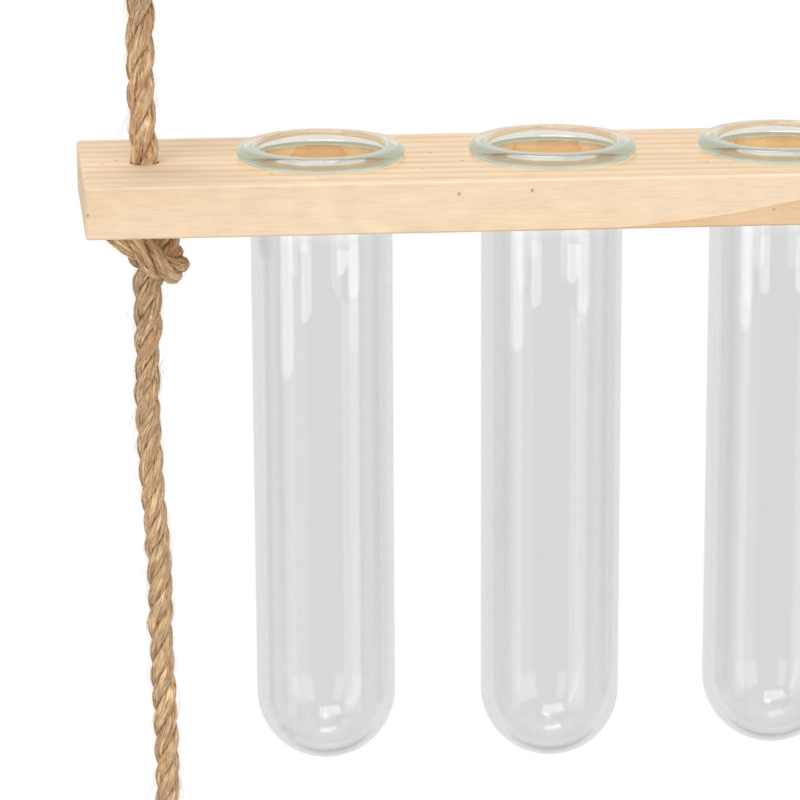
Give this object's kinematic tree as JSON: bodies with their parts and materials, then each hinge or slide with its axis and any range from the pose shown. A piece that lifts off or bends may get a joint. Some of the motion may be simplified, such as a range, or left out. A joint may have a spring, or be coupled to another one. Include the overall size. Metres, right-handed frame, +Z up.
{
  "type": "test tube vase",
  "caption": "Hanging vase: a wooden bar holds round-bottomed glass test tubes by their rims, on twisted jute ropes with stopper knots and hanging loops.",
  "frame": {"origin": "midway between the two hanging loops, at the height where a hook touches them", "axes": "+X along the bar to the right as the picture's viewer sees it, +Y to the back, +Z up"},
  "size_m": [0.3018, 0.05, 0.2723],
  "materials": {
    "pine": "sanded, unvarnished",
    "glass": "clear, polished",
    "jute": "three-strand twisted jute, hairy",
    "twine": "twisted jute"
  },
  "bodies": {
    "hanger": {"left_loop": "jute", "left_loop_wrap": "twine", "right_loop": "jute", "right_loop_wrap": "twine"},
    "shelf": {"bar": "pine", "left_upper_rope": "jute", "left_stopper_knot": "jute", "left_tail": "jute", "left_end_knot": "jute", "right_upper_rope": "jute", "right_stopper_knot": "jute", "right_tail": "jute", "right_end_knot": "jute"},
    "tube_1": {"tube_1": "glass"},
    "tube_2": {"tube_2": "glass"},
    "tube_3": {"tube_3": "glass"},
    "tube_4": {"tube_4": "glass"},
    "tube_5": {"tube_5": "glass"}
  },
  "joints": [
    {"name": "swing", "type": "hinge", "parent": "hanger", "child": "shelf", "pos_m": [0, 0, -0.05629], "axis": [1, 0, 0], "range_deg": [-25, 25]},
    {"name": "tube_1_lift", "type": "slide", "parent": "shelf", "child": "tube_1", "axis": [0, 0, 1], "range_m": [0, 0.14]},
    {"name": "tube_2_lift", "type": "slide", "parent": "shelf", "child": "tube_2", "axis": [0, 0, 1], "range_m": [0, 0.14]},
    {"name": "tube_3_lift", "type": "slide", "parent": "shelf", "child": "tube_3", "axis": [0, 0, 1], "range_m": [0, 0.14]},
    {"name": "tube_4_lift", "type": "slide", "parent": "shelf", "child": "tube_4", "axis": [0, 0, 1], "range_m": [0, 0.14]},
    {"name": "tube_5_lift", "type": "slide", "parent": "shelf", "child": "tube_5", "axis": [0, 0, 1], "range_m": [0, 0.14]}
  ]
}
